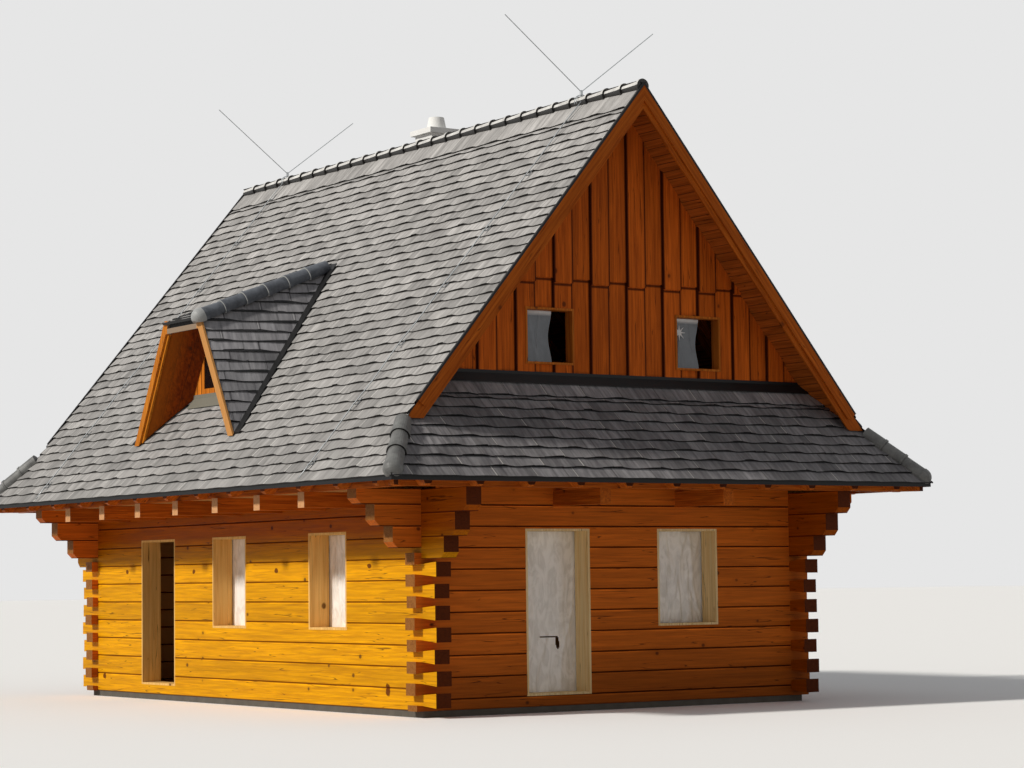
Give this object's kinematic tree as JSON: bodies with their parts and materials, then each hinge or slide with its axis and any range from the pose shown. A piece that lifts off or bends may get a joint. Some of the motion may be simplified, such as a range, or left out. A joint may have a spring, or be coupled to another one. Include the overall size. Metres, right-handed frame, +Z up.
{
  "type": "alpine chalet",
  "caption": "Two-storey chalet of notched squared logs under a steep tiled roof, with a pent roof below each gable and one dormer.",
  "frame": {"origin": "middle of the base, on the ground", "axes": "+X along the ridge towards the gable with a door, -Y out of the long wall with the dormer, +Z up"},
  "size_m": [11.914, 8.4062, 8.8452],
  "materials": {
    "log": "stained squared spruce, satin",
    "pale_board": "planed pale spruce boards",
    "frame_timber": "stained sawn timber",
    "front_board": "stained planed boards",
    "tile": "matt grey shake panels of recycled plastic",
    "cap": "dark grey half-round caps",
    "film": "translucent white building film",
    "attic_film": "translucent blue-grey building film",
    "flashing": "black coated sheet",
    "render": "white lime render on masonry",
    "foundation": "pale concrete",
    "floor": "screeded concrete",
    "rod": "dull aluminium",
    "dark_glass": "window glass over a dark room"
  },
  "bodies": {
    "root": {"foundation": "foundation", "ground_floor": "floor", "front_logs_odd": "log", "front_logs_even": "log", "back_logs_odd": "log", "back_logs_even": "log", "right_logs_odd": "log", "right_logs_even": "log", "left_logs_odd": "log", "left_logs_even": "log", "door_linings": "pale_board", "window_linings": "pale_board", "wall_films": "film", "ceiling_joists": "frame_timber", "outrigger_beams": "frame_timber", "attic_floor": "pale_board", "long_eave_plates": "frame_timber", "gable_eave_plates": "frame_timber", "front_rafters": "frame_timber", "back_rafters": "frame_timber", "skirt_rafters": "frame_timber", "front_deck": "frame_timber", "back_deck": "frame_timber", "skirt_decks": "frame_timber", "front_tiles": "tile", "back_tiles": "tile", "skirt_tiles": "tile", "skirt_flashings": "flashing", "eave_edges": "flashing", "ridge_caps": "cap", "hip_caps": "cap", "gable_walls": "front_board", "attic_linings": "front_board", "attic_films": "attic_film", "bargeboards": "front_board", "dormer_roof": "tile", "dormer_front_boards": "front_board", "dormer_lining": "front_board", "dormer_wall": "front_board", "dormer_window": "dark_glass", "dormer_caps": "cap", "dormer_valleys": "flashing", "chimney_stack": "render", "chimney_cap": "render", "lightning_rods": "rod"}
  },
  "joints": []
}
